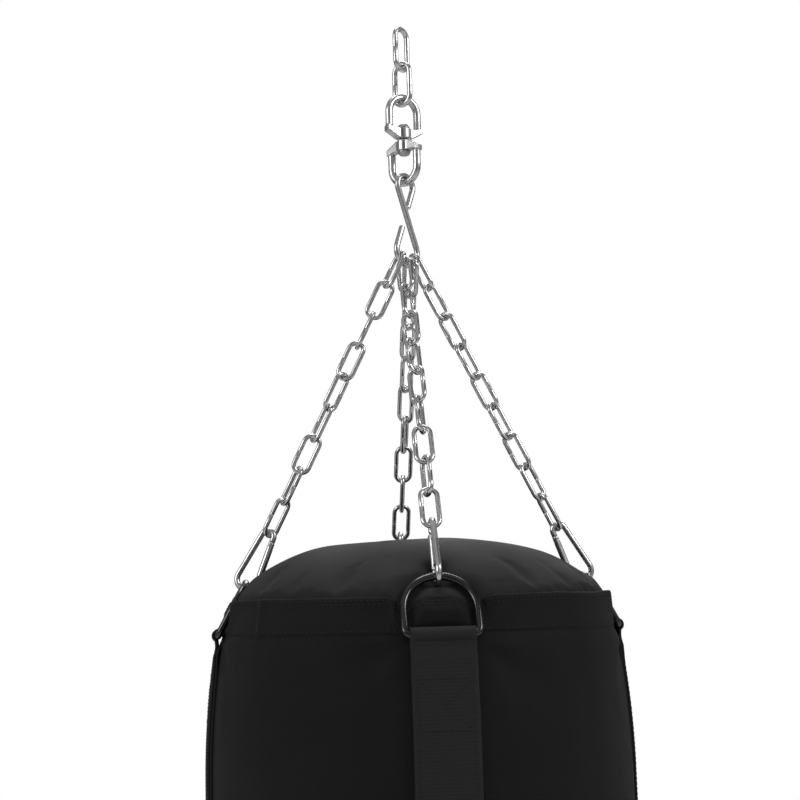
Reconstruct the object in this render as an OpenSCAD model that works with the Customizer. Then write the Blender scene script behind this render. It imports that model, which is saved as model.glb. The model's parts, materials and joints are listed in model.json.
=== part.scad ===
/* [Bag] */
// Outer diameter of the bag's body
bag_d = 356; // [340:1:370]
// Height of the bag from its rim to its flat bottom
bag_h = 1050; // [700:10:1400]
// Height of the padded top above the rim
dome_h = 46.7; // [30:0.1:60]
// Height of the hem band below the rim
hem_h = 29; // [27:0.5:34]
// Thickness of the woven outer cover
cover_t = 2; // [1.5:0.1:3]
// Thickness of the foam liner behind the cover
foam_t = 14; // [8:1:25]

/* [Hanging straps and rings] */
// Width of the webbing
strap_w = 50; // [40:1:50]
// Thickness of one ply of webbing
strap_t = 2.2; // [1.6:0.1:2.4]
// Length of each strap down the bag's side
strap_len = 300; // [120:10:400]
// Wire of the D-rings
ring_wire = 6; // [5:0.5:6]
// Width of a D-ring between the middles of its legs
ring_w = 57; // [54:0.5:60]

/* [Chain] */
// Wire of the chain links
link_wire = 4; // [3.8:0.1:4.1]
// Clear width inside a chain link
link_gap = 9.5; // [9.3:0.1:10]
// Height of the S-hook's lower loop above the rim
bridle_h = 292; // [285:1:300]

/* [Snap hooks] */
// Wire of the snap hooks
hook_wire = 5; // [4.8:0.1:5.1]
// Length of a snap hook along the middle of its wire
hook_len = 55; // [54:0.5:56]
// Clearance between a rivet and its gate
rivet_play = 0.05; // [0.03:0.01:0.08]

/* [S-hook] */
// Wire of the S-hook
s_wire = 5.5; // [5.3:0.1:5.6]
// Bend radius of its upper loop
s_upper_r = 9.5; // [9:0.1:10]
// Bend radius of its lower loop
s_lower_r = 13; // [12.8:0.1:13.4]
// Drop from the middle of its top bend to the middle of its bottom bend
s_drop = 82; // [78:1:90]

/* [Swivel and top links] */
// Height of each forged eye
eye_h = 42.2; // [40:0.1:46]
// Width of each eye between the middles of its legs
eye_w = 29; // [27:0.5:31]
// Diameter of the eyes' legs
eye_leg = 7; // [6:0.1:7]
// Diameter of the swivel pin
pin_d = 7; // [6:0.1:8]
// Wire of the two top links
top_wire = 5; // [4.6:0.1:5.2]
// Clear length inside a top link
top_in = 33; // [30:0.5:40]
// Clear width inside a top link
top_gap = 11.5; // [11:0.1:13]

/* [Hidden] */
$fn = 48;

corners = ["front", "right", "rear", "left"];
corner_angle = [-90, 0, 90, 180];
chain_parts = ["upper", "middle", "lower"];
links_per_part = 3;
link_count = links_per_part * len(chain_parts);

// Free play left where one hanging piece bears on the next
play = 0.15;

// Compass directions of the hanging pieces' wide sides, in degrees from +X
hanging_link_turn = 45;
swivel_link_turn = -44;
upper_eye_turn = 24;
lower_eye_turn = -46;
s_hook_turn = 40;

// Heights down the hanging line: z = 0 is the inside crown of the hanging link
top_leg = top_in + top_wire;
hanging_low_z = top_wire / 2 - top_leg;
swivel_link_z = hanging_low_z + top_wire + play;
swivel_link_low_z = swivel_link_z - top_leg;
eye_crown_z = swivel_link_low_z + (top_wire + eye_leg) / 2 + play;
eye_top_z = eye_crown_z + eye_leg / 2;
swivel_neck = 1.5;
lower_eye_z = eye_top_z - 2 * eye_h - swivel_neck;
lower_crown_z = lower_eye_z + eye_leg / 2;
s_top_z = lower_crown_z + (eye_leg + s_wire) / 2 + play;
s_low_z = s_top_z - s_drop;
rim_z = s_low_z - bridle_h;
bottom_z = rim_z - bag_h;

// Bag: radii of the rim, the shoulder and the body
bag_r = bag_d / 2;
rim_r = bag_r - 13.4;
shoulder_r = bag_r - 10.2;
shoulder_h = 150;
shoulder_arc = (pow(bag_r - shoulder_r, 2) + pow(shoulder_h - hem_h, 2)) / (2 * (bag_r - shoulder_r));
hem_t = 3.4;
dome_power = 3.2;
soft_gap = 0.3;

// D-rings: the middle of the top bend and of the straight bar, out from the axis and up from the rim
ring_top = [bag_r - 31, 14.5];
ring_bar = [bag_r - 7.5, -29];
ring_bend = ring_w / 2;
ring_corner = 5;
ring_lean = atan2(ring_bar[0] - ring_top[0], ring_top[1] - ring_bar[1]);
ring_h = norm(ring_top - ring_bar);

// Chain legs: where each first link sits round the S-hook's lower loop, and how far above the wire
seat_angle = [-20, 50, 20, -50];
seat_rise = [0.17, 1.4, 0.17, 1.4];
link_play = 0.12;
link_bend = (link_gap + link_wire) / 2;
// Twist of each link about its chain's line, from the first link down
link_turns = [
    [-45, 45, -40, 40, -45, 65, -5, -75, 0],
    [28, -50, 45, -45, 45, -45, 45, -48, 20],
    [-45, 45, -45, 45, -42, 68, 0, 80, 0],
    [28, 94, 4, 72, 138, 25, 92, 22, -46]];
hook_turn = [-90, -90, -90, -108];

function on_corner(i, r, z) = [r * cos(corner_angle[i]), r * sin(corner_angle[i]), rim_z + z];
function seat(i) = [
    s_lower_r * sin(seat_angle[i]) * cos(s_hook_turn),
    s_lower_r * sin(seat_angle[i]) * sin(s_hook_turn),
    s_low_z + s_lower_r * (1 - cos(seat_angle[i]))];
function leg(i) = seat(i) - on_corner(i, ring_top[0], ring_top[1]);
function first_rise(i) = (s_wire + link_wire) / 2 + seat_rise[i];
function rigid_run(i) = norm(leg(i)) + first_rise(i) + hook_wire + (ring_wire - link_wire) / 2 - hook_len;
link_in = (rigid_run(1) + (link_count + 1) * link_play) / link_count;
function leg_play(i) = (link_count * link_in - rigid_run(i)) / (link_count + 1);
function link_z(i, n) = first_rise(i) - n * (link_in - leg_play(i));
function hook_z(i) = link_z(i, link_count - 1) - link_in + (hook_wire - link_wire) / 2 + leg_play(i);

// Snap hook: bends of the small and the big end, and the straight between them
hook_small = 5.5;
hook_big = 9.5;
hook_centres = hook_len - hook_small - hook_big;
hook_taper = asin((hook_big - hook_small) / hook_centres);
hook_side = hook_centres * cos(hook_taper);
hinge_drop = 3;
rivet_drop = 6.6;
rivet_d = 2;
tang_t = 2;
nose_up = 4.8;
gate_d = 5.8;
gate_top = rivet_drop - 2.1;
gate_low = hook_side - nose_up - 0.4;
slot_play = 0.2;
gate_bore = 3.4;
spring_wire = 0.7;

// Swivel eye: forged crossbar and its boss
boss_h = 9.5;
boss_d = 13;
crossbar_t = 8.4;
pin_head_d = 11.5;
pin_head_h = 3.8;
pin_play = 0.05;

cut = 0.3;
bend_bead = 0.06;

// A bent wire: each step is [length] for a straight or [bend radius, turn] for an arc.
// A bead swells the wire a little where an arc ends.
module wire(steps, d, bead = 0, i = 0) {
    if (i < len(steps)) {
        s = steps[i];
        if (bead > 0 && i > 0 && len(steps[i - 1]) == 2) sphere(d = d + bead);
        if (len(s) == 1) {
            rotate([0, 90, 0]) cylinder(d = d, h = s[0]);
            translate([s[0], 0, 0]) wire(steps, d, bead, i + 1);
        } else {
            side = s[1] > 0 ? [0, 0, 0] : [0, 1, 0];
            mirror(side) translate([0, s[0], 0]) {
                rotate([0, 0, -90]) rotate_extrude(angle = abs(s[1])) translate([s[0], 0]) circle(d = d);
                rotate([0, 0, abs(s[1])]) translate([0, -s[0], 0]) mirror(side) wire(steps, d, bead, i + 1);
            }
        }
    }
}

// Stands a flat path up: its X runs along the compass direction turn, its Y runs up
module upright(turn) rotate([90, 0, turn]) children();

// One link hanging from z = 0, the middle of its top bend; its ends meet half way down one leg
module link(d, inside, gap) {
    bend = (gap + d) / 2;
    side = inside + d - 2 * bend;
    upright(90) translate([bend, -bend - side / 2 + cut / 2]) rotate(90)
        wire([[(side - cut) / 2], [bend, 180], [side], [bend, 180], [(side - cut) / 2]], d);
}

module hanging_link() color("silver")
    translate([0, 0, top_wire / 2]) rotate(hanging_link_turn - 90) link(top_wire, top_in, top_gap);

module swivel_link() color("silver")
    translate([0, 0, swivel_link_z]) rotate(swivel_link_turn - 90) link(top_wire, top_in, top_gap);

// A forged eye standing on its boss, with its wide side along Y
module eye(bore) {
    straight = eye_h - (eye_leg + eye_w) / 2 - boss_h + 1;
    half = (eye_w + eye_leg) / 2;
    difference() {
        union() {
            upright(90) translate([eye_w / 2, boss_h - 1]) rotate(90)
                wire([[straight], [eye_w / 2, 180], [straight]], eye_leg);
            intersection() {
                upright(90) linear_extrude(crossbar_t, center = true)
                    polygon([[-half, boss_h + 2], [-half, boss_h - 3], [-boss_d / 2, 0], [boss_d / 2, 0],
                        [half, boss_h - 3], [half, boss_h + 2], [half - eye_leg, boss_h], [eye_leg - half, boss_h]]);
                translate([0, 0, -1]) cylinder(r = half, h = boss_h + 4);
            }
            cylinder(d = boss_d, h = boss_h);
        }
        translate([0, 0, -1]) cylinder(d = bore, h = boss_h + 2);
    }
}

module swivel_upper_eye() color("silver")
    translate([0, 0, eye_top_z - eye_h]) rotate(upper_eye_turn - 90) eye(pin_d);

module swivel_lower_eye() color("silver")
    translate([0, 0, lower_eye_z + eye_h]) rotate(lower_eye_turn - 90) mirror([0, 0, 1])
        eye(pin_d + 2 * pin_play);

// A riveted pin: round heads inside both eyes
module swivel_pin() color("gray") {
    shank = 2 * boss_h + swivel_neck + 2 * pin_play;
    head = [[0, 0], [pin_head_d / 2, 0], [pin_head_d / 2, 1.2], [pin_head_d / 2 - 1.6, pin_head_h], [0, pin_head_h]];
    translate([0, 0, eye_top_z - eye_h + boss_h - shank]) {
        cylinder(d = pin_d, h = shank);
        translate([0, 0, shank]) rotate_extrude() polygon(head);
        mirror([0, 0, 1]) rotate_extrude() polygon(head);
    }
}

// The S-hook: two open loops on the hanging line, and a slanted shank that crosses the line between them
module s_hook() color("silver") {
    bends = s_upper_r + s_lower_r;
    centres = s_drop - bends;
    slant = asin(bends / centres);
    shank = centres * cos(slant);
    tip = 18;
    translate([0, 0, s_top_z - s_upper_r - centres * s_upper_r / bends]) upright(s_hook_turn)
        for (half = [[s_upper_r, 90 + slant], [s_lower_r, slant - 90]])
            rotate(half[1]) wire([[shank * half[0] / bends], [half[0], -180 - 2 * slant], [tip]], s_wire,
                half[0] == s_lower_r ? bend_bead : 0);
}

// Runs along one chain: the origin is on the S-hook's wire and +Z points back up the chain
module along_leg(i) {
    line = leg(i);
    translate(seat(i)) rotate([0, acos(line[2] / norm(line)), atan2(line[1], line[0])]) children();
}

module chain_part(i, part) color("gainsboro")
    along_leg(i) for (n = [part * links_per_part:(part + 1) * links_per_part - 1])
        translate([0, 0, link_z(i, n)]) rotate(link_turns[i][n]) link(link_wire, link_in, link_gap);

// A snap hook's own place: the middle of its small bend at the top, its gate on the +Y side
module at_hook(i) along_leg(i) translate([0, 0, hook_z(i)]) rotate(hook_turn[i]) children();

// The line that the gate closes: the origin is where it leaves the small bend, +Z runs up
module at_gate() translate([0, hook_small * cos(hook_taper), hook_small * (sin(hook_taper) - 1)])
    rotate([hook_taper, 0, 0]) children();

module cross_pin(d, length) rotate([0, 90, 0]) cylinder(d = d, h = length, center = true);

module snap_hook(i) color("silver") at_hook(i) {
    upright(90) translate([hook_small * cos(hook_taper), hook_small * (sin(hook_taper) - 1)])
        rotate(90 + hook_taper) translate([-hinge_drop, 0])
            wire([[hinge_drop], [hook_small, 180 - 2 * hook_taper], [hook_side],
                [hook_big, 180 + 2 * hook_taper], [nose_up]], hook_wire, bend_bead);
    at_gate() difference() {
        union() {
            translate([-tang_t / 2, -2.4, -rivet_drop]) cube([tang_t, 4.8, rivet_drop - hinge_drop + 0.2]);
            translate([0, 0, -rivet_drop]) cross_pin(4.8, tang_t);
            translate([-0.9, -2.2, nose_up - hook_side - 0.2]) cube([1.8, 4.4, 3.7]);
        }
        translate([0, 0, -rivet_drop]) cross_pin(rivet_d, tang_t + 2);
    }
}

// A hollow gate, slotted at the top for the tang and at the bottom for the nose
module gate(i) color("silver") at_hook(i) at_gate() difference() {
    translate([0, 0, -gate_low]) cylinder(d = gate_d, h = gate_low - gate_top);
    translate([0, 0, -gate_low - 1]) cylinder(d = gate_bore, h = gate_low);
    translate([-tang_t / 2 - slot_play, -gate_d, -rivet_drop - 2.8]) cube([tang_t + 2 * slot_play, 2 * gate_d, 9]);
    translate([-1.15, -gate_d, -gate_low - 1]) cube([2.3, 2 * gate_d, 5.3]);
    translate([0, 0, -rivet_drop]) cross_pin(rivet_d + 2 * rivet_play, gate_d + 2);
}

module gate_rivets() color("gray")
    for (i = [0:3]) at_hook(i) at_gate() translate([0, 0, -rivet_drop]) cross_pin(rivet_d, gate_d + 0.6);

// A coil swept as one closed skin: a ring of points at each step round the helix
module gate_spring(i) color("dimgray") {
    coil_r = gate_bore / 2 - spring_wire / 2 - 0.1;
    turns = 5;
    per_turn = 8;
    sides = 5;
    rings = turns * per_turn;
    pitch = 1.2;
    points = [for (k = [0:rings], j = [0:sides - 1])
        let (a = 360 * k / per_turn, b = 360 * j / sides, r = coil_r + spring_wire / 2 * cos(b))
        [r * cos(a), r * sin(a), pitch * k / per_turn + spring_wire / 2 * sin(b)]];
    skin = [for (k = [0:rings - 1], j = [0:sides - 1], half = [0, 1])
        let (m = (j + 1) % sides, p = k * sides, q = p + sides)
        half == 0 ? [p + m, q + m, q + j] : [p + m, q + j, p + j]];
    ends = [[for (j = [sides - 1:-1:0]) j], [for (j = [0:sides - 1]) rings * sides + j]];
    at_hook(i) at_gate() translate([0, 0, -rivet_drop - 3.4 - turns * pitch - spring_wire])
        polyhedron(points, concat(ends, skin));
}

// One corner of the bag: +X points out from its axis, z = 0 is the rim
module at_corner(i) translate([0, 0, rim_z]) rotate(corner_angle[i]) children();
module at_bar() translate([ring_bar[0], 0, ring_bar[1]]) children();

module d_ring(i) color("black") at_corner(i) at_bar() rotate([0, -ring_lean, 0]) {
    half_bar = ring_bend - ring_corner - cut / 2;
    side = ring_h - ring_bend - ring_corner;
    upright(90) translate([cut / 2, 0])
        wire([[half_bar], [ring_corner, 90], [side], [ring_bend, 180], [side], [ring_corner, 90], [half_bar]],
            ring_wire);
}

// Radius of the bag at a height z below its rim
function bag_edge(z) = z > -hem_h ? rim_r + (shoulder_r - rim_r) * -z / hem_h
    : z > -shoulder_h ? bag_r - pow(z + shoulder_h, 2) / (2 * shoulder_arc) : bag_r;
shoulder_steps = 6;
function side_line(inset, top, low) = concat(
    [for (k = [0:shoulder_steps]) let (z = top - k * (top + shoulder_h) / shoulder_steps) [bag_edge(z) - inset, z]],
    [[bag_r - inset, low]]);
function dome_line(inset) = [for (k = [16:-1:0])
    let (r = (rim_r - hem_t - inset) * k / 16) [r, (dome_h - inset) * (1 - pow(k / 16, dome_power))]];

// What one ring, its strap and its snap hook press into the padding
module dent(i, grow) {
    wide = ring_w + ring_wire + 3 + 2 * grow;
    loop_r = ring_wire / 2 + strap_t + 1.8 + grow;
    hook_wide = hook_wire + 3 + 2 * grow;
    hook_in = hook_big + hook_wire / 2 + 1.5 + grow;
    at_corner(i) at_bar() {
        rotate([0, -ring_lean, 0]) translate([-ring_wire / 2 - 0.6 - grow, -wide / 2, -12]) cube([60, wide, 90]);
        rotate([90, 0, 0]) cylinder(r = loop_r, h = strap_w + 2 + 2 * grow, center = true);
    }
    at_hook(i) translate([-hook_wide / 2, -30, -hook_len - hook_wire / 2 - 1.5 - grow])
        cube([hook_wide, 30 + hook_in, hook_len + 10]);
}

// A turned solid with the four dents pressed in
module pressed(outline, grow) difference() {
    translate([0, 0, rim_z]) rotate_extrude() polygon(outline);
    for (i = [0:3]) dent(i, grow);
}

module strap(i) color("black") at_corner(i) {
    seam = -36;
    joined = -46;
    out = 2 * strap_t + soft_gap;
    hole = ring_wire + 0.6;
    rotate([90, 0, 0]) linear_extrude(strap_w, center = true) difference() {
        union() {
            translate(ring_bar) circle(d = hole + 2 * strap_t);
            polygon([ring_bar + [-3.6, -4], [bag_edge(seam) + soft_gap, seam], [bag_edge(joined) + soft_gap, joined],
                [bag_edge(joined) + out, joined], ring_bar + [hole / 2 + strap_t - 0.3, -2]]);
        }
        translate(ring_bar) circle(d = hole);
    }
    turn = 2 * asin(strap_w / 2 / bag_r);
    rotate(-turn / 2) rotate_extrude(angle = turn)
        polygon(concat([for (p = side_line(-soft_gap, joined + 0.5, joined - strap_len)) p],
            [for (k = [shoulder_steps + 1:-1:0]) side_line(-out, joined + 0.5, joined - strap_len)[k]]));
}

module top_cap() color("dimgray") difference() {
    pressed(concat([[0, -hem_h], [shoulder_r - hem_t, -hem_h]], dome_line(0)), hem_t);
    pressed(concat([[0, -hem_h - 1], [shoulder_r - hem_t - cover_t, -hem_h - 1]], dome_line(cover_t)),
        hem_t + cover_t);
}

module top_hem() color("black") difference() {
    pressed([[0, -hem_h], [shoulder_r, -hem_h], [rim_r, 0], [0, 0]], 0);
    pressed([[0, -hem_h - 1], [shoulder_r - hem_t, -hem_h - 1], [shoulder_r - hem_t, -hem_h],
        [rim_r - hem_t, 0], [rim_r - hem_t, 1], [0, 1]], hem_t);
}

piping_d = 5;
disc_t = 2.5;
side_low = piping_d + soft_gap - bag_h;

module side_cover() color("black") difference() {
    pressed(concat([[0, side_low], [0, -hem_h]], side_line(0, -hem_h, side_low)), 0);
    pressed(concat([[0, side_low - 1], [0, 1 - hem_h], [shoulder_r - cover_t, 1 - hem_h]],
        side_line(cover_t, -hem_h, side_low - 1)), cover_t);
}

module bottom_disc() color("black")
    translate([0, 0, bottom_z]) cylinder(r = bag_r - 4, h = disc_t);

module bottom_piping() color("black")
    translate([0, 0, bottom_z + piping_d / 2 + soft_gap]) rotate_extrude()
        translate([bag_r - 1.1, 0]) circle(d = piping_d);

liner_inset = cover_t + soft_gap;
fill_inset = liner_inset + foam_t + soft_gap;
liner_top = -hem_h - 2;

module foam_liner() color("wheat") difference() {
    pressed(concat([[0, side_low], [0, liner_top]], side_line(liner_inset, liner_top, side_low)), liner_inset);
    pressed(concat([[0, side_low - 1], [0, liner_top + 1], [bag_edge(liner_top) - liner_inset - foam_t, liner_top + 1]],
        side_line(liner_inset + foam_t, liner_top, side_low - 1)), liner_inset + foam_t);
}

module filling() color("rosybrown")
    pressed(concat([[0, disc_t + soft_gap - bag_h]],
        [for (k = [shoulder_steps + 1:-1:0]) side_line(fill_inset, liner_top, disc_t + soft_gap - bag_h)[k]],
        dome_line(fill_inset)), fill_inset);

hanging_link();
swivel_link();
swivel_upper_eye();
swivel_pin();
swivel_lower_eye();
s_hook();
for (i = [0:3]) {
    for (p = [0:2])
        chain_part(i, p);
    snap_hook(i);
    gate(i);
    gate_spring(i);
    d_ring(i);
    strap(i);
}
gate_rivets();
top_cap();
top_hem();
side_cover();
bottom_disc();
bottom_piping();
foam_liner();
filling();
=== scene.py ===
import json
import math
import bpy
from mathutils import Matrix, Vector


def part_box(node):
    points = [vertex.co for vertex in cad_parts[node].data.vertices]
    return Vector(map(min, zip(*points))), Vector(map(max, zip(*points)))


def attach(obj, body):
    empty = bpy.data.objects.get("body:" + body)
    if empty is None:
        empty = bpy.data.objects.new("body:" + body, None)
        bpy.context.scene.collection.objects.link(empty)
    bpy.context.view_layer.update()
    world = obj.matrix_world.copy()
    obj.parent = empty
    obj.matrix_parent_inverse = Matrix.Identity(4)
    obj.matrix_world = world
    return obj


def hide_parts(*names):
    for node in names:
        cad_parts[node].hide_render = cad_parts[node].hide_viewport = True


bl_info = {
    "name": "Hanging punching bag",
    "version": (1, 0, 0),
    "blender": (4, 5, 0),
    "location": "3D View > Sidebar > Punching bag",
    "description": "Makes the steel, the cloth, the webbing and the stage of a punching bag on its chains",
    "category": "Object",
}

import bmesh
import bpy
import numpy as np
from bpy.props import FloatProperty, FloatVectorProperty, IntProperty, PointerProperty
from mathutils import Matrix, Vector, noise

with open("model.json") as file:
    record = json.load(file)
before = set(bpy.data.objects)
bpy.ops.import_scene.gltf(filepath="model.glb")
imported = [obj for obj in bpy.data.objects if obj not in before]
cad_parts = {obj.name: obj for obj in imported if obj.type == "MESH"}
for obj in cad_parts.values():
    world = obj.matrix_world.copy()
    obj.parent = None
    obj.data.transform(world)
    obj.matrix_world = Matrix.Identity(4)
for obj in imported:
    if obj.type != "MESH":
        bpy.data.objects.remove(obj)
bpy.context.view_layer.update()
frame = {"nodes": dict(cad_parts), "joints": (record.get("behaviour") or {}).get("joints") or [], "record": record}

MM = 0.001
TURN = 2 * math.pi
CORNERS = {"front": -90, "right": 0, "rear": 90, "left": 180}
CHAIN_PARTS = ("upper", "middle", "lower")
RIM_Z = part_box("top_hem")[1].z
HEM_LOW_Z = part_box("top_hem")[0].z
BAG_LOW_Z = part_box("bottom_disc")[0].z
BAG_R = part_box("side_cover")[1].x
DOME_TOP_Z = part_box("top_cap")[1].z


# Sizes and colours


def length(name, text, default, low=0.0):
    return FloatProperty(name=name, description=text, default=default, min=low, unit="LENGTH", precision=5)


def colour(name, text, default):
    return FloatVectorProperty(name=name, description=text, default=default, size=3, min=0, max=1, subtype="COLOR")


class BagSizes(bpy.types.PropertyGroup):
    rim_inset: length("Rim inset", "How far the rim lies inside the body's radius", 13.4 * MM)
    shoulder_inset: length("Shoulder inset", "How far the hem's lower edge lies inside it", 10.2 * MM)
    shoulder_drop: length("Shoulder drop", "Depth below the rim where the body has its full radius", 150 * MM)
    hem_thick: length("Hem thickness", "Thickness of the folded band round the rim", 3.4 * MM)
    cover_thick: length("Cover thickness", "Thickness of the cover", 1.8 * MM)
    dome_power: FloatProperty(name="Dome power", description="How square the padded top is", default=3.2, min=1)
    billow: length("Billow", "How far the cloth swells and sinks between the straps", 2.2 * MM)
    crease: length("Crease", "Height of the creases that run from the ends of the ring bars", 2.4 * MM)
    stitch: length("Stitch", "Length of one stitch", 3.0 * MM)
    stitch_pitch: length("Stitch pitch", "Distance from one stitch to the next", 4.2 * MM, 1 * MM)
    thread: length("Thread", "Thickness of the sewing thread", 0.75 * MM)
    piping: length("Piping", "Thickness of the piping round the bottom", 5 * MM)


class WebbingSizes(bpy.types.PropertyGroup):
    width: length("Width", "Width of the webbing", 50 * MM)
    thick: length("Thickness", "Thickness of one ply", 2.2 * MM)
    run: length("Run", "Length of a strap from the join below its ring to its end", 300 * MM)
    join_drop: length("Join", "Depth below the rim where the two plies meet", 46 * MM)
    rib_pitch: length("Rib pitch", "Distance from one rib to the next", 2.7 * MM, 0.5 * MM)
    rib: length("Rib height", "Height of the webbing's ribs", 0.22 * MM)


class SteelSizes(bpy.types.PropertyGroup):
    sides: IntProperty(name="Sides", description="Faces round a wire", default=20, min=6)
    butt_gap: length("Butt gap", "Gap where a link's two ends meet", 0.3 * MM)
    ring_corner: length("Ring corner", "Bend of a D-ring at the ends of its bar", 5 * MM)
    grain: length("Forging grain", "Fineness of the forged and bent parts", 0.42 * MM, 0.1 * MM)


class Finishes(bpy.types.PropertyGroup):
    zinc: colour("Zinc", "Bright zinc plate", (0.78, 0.78, 0.79))
    dull_steel: colour("Dull steel", "Pins and rivets", (0.5, 0.5, 0.51))
    enamel: colour("Enamel", "Black enamel on the D-rings", (0.008, 0.008, 0.009))
    cover: colour("Cover", "Cloth of the cover and of the hem", (0.0075, 0.0075, 0.008))
    top: colour("Top", "Cloth of the padded top", (0.022, 0.022, 0.023))
    webbing: colour("Webbing", "Webbing of the straps", (0.0068, 0.0068, 0.0072))
    thread: colour("Thread", "Sewing thread", (0.02, 0.02, 0.021))
    foam: colour("Foam", "Foam liner", (0.72, 0.68, 0.56))
    filling: colour("Filling", "Textile filling", (0.42, 0.39, 0.36))
    floor: colour("Floor", "Pale floor", (0.85, 0.85, 0.85))


class StageSizes(bpy.types.PropertyGroup):
    distance: length("Camera distance", "From the camera to the bag's line", 1.3)
    azimuth: FloatProperty(name="Azimuth", description="Camera's place round the bag, in degrees", default=-6)
    pitch: FloatProperty(name="Pitch", description="How far the camera looks up, in degrees", default=7.5)
    roll: FloatProperty(name="Roll", description="The camera's tilt, in degrees", default=-1.55)
    lens: FloatProperty(name="Lens", description="Focal length in millimetres", default=67)
    side_shift: length("Aim", "How far right of the hanging line the camera aims", -9.8 * MM, -1.0)
    floor_drop: length("Floor drop", "Height of the bag's bottom above the floor", 0.12)


# Shader nodes


class Value:
    """One number socket: sums and products of such sockets add their Math nodes."""

    def __init__(self, tree, socket):
        self.tree = tree
        self.socket = socket

    def math(self, operation, *others):
        return self.tree.add("ShaderNodeMath", {"operation": operation}, [self, *others])

    def __add__(self, other):
        return self.math("ADD", other)

    def __mul__(self, other):
        return self.math("MULTIPLY", other)

    def __sub__(self, other):
        return self.math("SUBTRACT", other)

    def __rsub__(self, other):
        return self.math("MULTIPLY", -1).math("ADD", other)

    __radd__ = __add__
    __rmul__ = __mul__


class Tree:
    """A material's nodes. add() makes one node: its settings first, then the values or links of its sockets."""

    def __init__(self, name):
        self.material = bpy.data.materials.new(name)
        self.material.use_nodes = True
        self.nodes = self.material.node_tree.nodes
        self.links = self.material.node_tree.links
        self.nodes.clear()

    def add(self, kind, settings=None, inputs=(), output=0):
        node = self.nodes.new(kind)
        for key, setting in (settings or {}).items():
            setattr(node, key, setting)
        pairs = inputs.items() if isinstance(inputs, dict) else enumerate(inputs)
        for key, given in pairs:
            if isinstance(given, Value):
                self.links.new(given.socket, node.inputs[key])
            else:
                node.inputs[key].default_value = given
        return Value(self, node.outputs[output]) if node.outputs else None

    def noise(self, place, scale, detail=3.0, roughness=0.5):
        sockets = {"Vector": place, "Scale": scale, "Detail": detail, "Roughness": roughness}
        return self.add("ShaderNodeTexNoise", None, sockets)

    def ramp(self, factor, low, high, first, last):
        """A smooth change from one number to another between two levels of the factor."""
        settings = {"interpolation_type": "SMOOTHSTEP"}
        sockets = {"Value": factor, "From Min": low, "From Max": high, "To Min": first, "To Max": last}
        return self.add("ShaderNodeMapRange", settings, sockets)

    def blend(self, factor, first, last):
        ends = [given if isinstance(given, Value) else (*given, 1) for given in (first, last)]
        return self.add("ShaderNodeMix", {"data_type": "RGBA"}, {0: factor, 6: ends[0], 7: ends[1]}, 2)

    def bump(self, height, depth, strength=1.0):
        return self.add("ShaderNodeBump", None, {"Strength": strength, "Distance": depth, "Height": height})

    def finish(self, **sockets):
        names = {key.replace("_", " "): given for key, given in sockets.items()}
        shader = self.add("ShaderNodeBsdfPrincipled", None, names)
        self.add("ShaderNodeOutputMaterial", None, [shader])
        return self.material


def scaled(base, factor):
    return tuple(min(1.0, part * factor) for part in base)


def steel_material(name, base, rough_low, rough_high):
    """Plated steel: cloudy zinc, fine drawing marks, and a few rougher patches whose colour is darkened with painted
    shade.
    """
    tree = Tree(name)
    place = tree.add("ShaderNodeTexCoord", None, (), "Object")
    cloud = tree.noise(place, 160, 4.0, 0.6)
    grain = tree.noise(place, 2400, 2.0)
    # Mask of noise-scattered patches that carry painted shade in the colour and a higher roughness.
    shade_and_dull_patch = tree.ramp(tree.noise(place, 55, 2.0), 0.45, 0.7, 0.0, 1.0)
    tone = tree.blend(tree.ramp(cloud, 0.3, 0.75, 0.0, 1.0), base, scaled(base, 0.72))
    # Painted shade: the patches darken the zinc towards 0.6 of its colour.
    tone = tree.blend(shade_and_dull_patch * 0.5, tone, scaled(base, 0.6))
    rough = tree.ramp(cloud + shade_and_dull_patch * 0.3, 0.3, 1.0, rough_low, rough_high)
    normal = tree.bump(cloud * 0.7 + grain * 0.3, 0.12 * MM, 0.5)
    return tree.finish(Base_Color=tone, Metallic=1.0, Roughness=rough, Normal=normal)


def enamel_material(base):
    tree = Tree("black_enamel")
    place = tree.add("ShaderNodeTexCoord", None, (), "Object")
    peel = tree.noise(place, 420, 2.0)
    wear = tree.ramp(tree.noise(place, 240, 4.0, 0.7), 0.62, 0.78, 0.0, 1.0)
    tone = tree.blend(wear * 0.35, base, scaled(base, 5))
    normal = tree.bump(peel, 0.06 * MM, 0.35)
    return tree.finish(Base_Color=tone, Roughness=tree.ramp(peel, 0.3, 0.7, 0.10, 0.2) + wear * 0.12,
                       Normal=normal, Coat_Weight=0.4, Coat_Roughness=0.08)


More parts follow.
